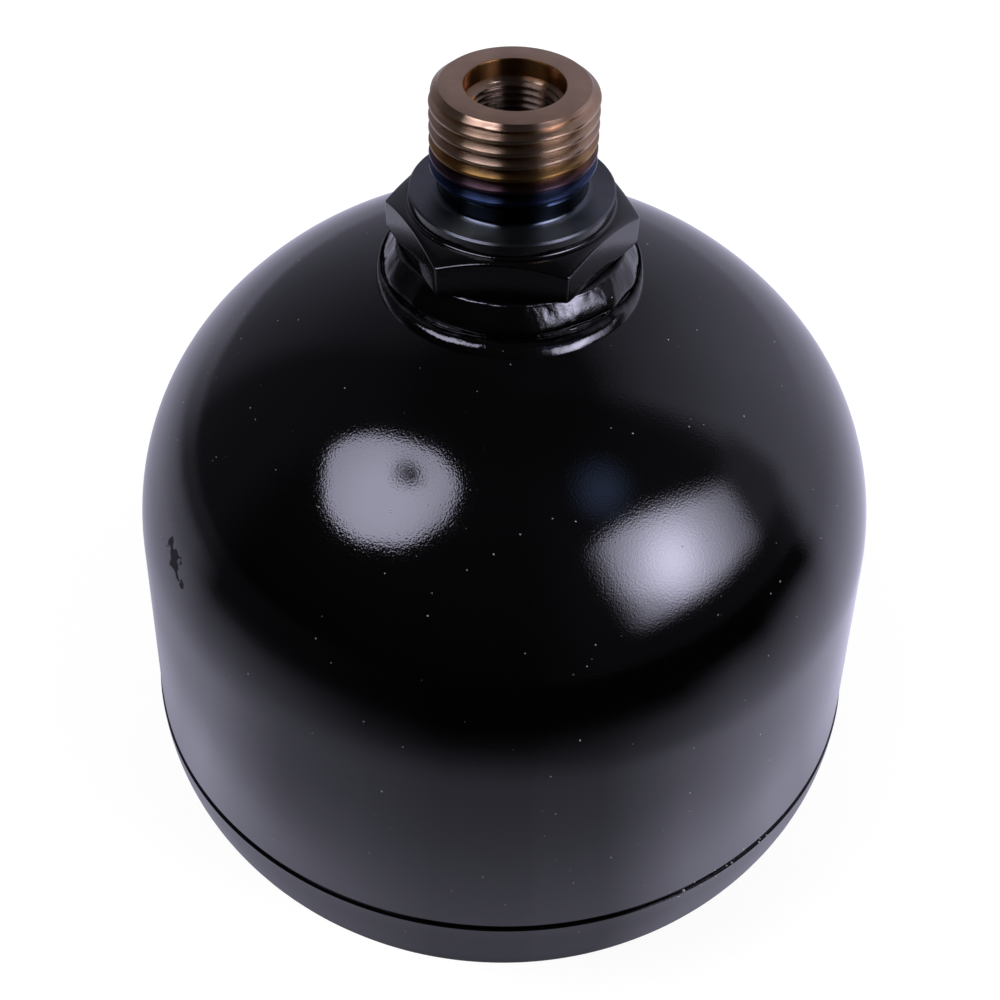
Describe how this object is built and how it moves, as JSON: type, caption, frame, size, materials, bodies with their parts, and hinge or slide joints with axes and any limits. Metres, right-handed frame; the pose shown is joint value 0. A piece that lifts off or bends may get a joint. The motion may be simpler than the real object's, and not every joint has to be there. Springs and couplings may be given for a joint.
{
  "type": "diaphragm accumulator",
  "caption": "Welded steel pressure vessel with a domed black shell, a hexagon and a short threaded stud on top, and a flat gas connection below.",
  "frame": {"origin": "centre of the foot face of the gas connection", "axes": "+Z along the vessel's axis, towards the fluid connection; +X through a corner of the hexagon"},
  "size_m": [0.116, 0.116, 0.1608],
  "materials": {
    "shell_paint": "gloss black enamel with light orange peel",
    "weld_paint": "gloss black enamel over weld",
    "tinted_steel": "turned steel, heat tinted from straw brown to blue, painted from the hexagon down",
    "plain_steel": "turned",
    "boss_steel": "turned, light oil",
    "zinc_steel": "zinc plated",
    "copper": "soft copper ring",
    "rubber": "moulded nitrile rubber"
  },
  "bodies": {
    "root": {"upper_shell": "shell_paint", "lower_shell": "shell_paint", "girth_weld": "weld_paint", "port_adapter": "tinted_steel", "neck_weld_flash": "weld_paint", "diaphragm": "rubber", "closing_button": "plain_steel", "clamp_ring": "plain_steel", "gas_boss": "boss_steel", "gas_boss_weld": "weld_paint", "charging_screw": "zinc_steel", "screw_seal": "copper"}
  },
  "joints": []
}
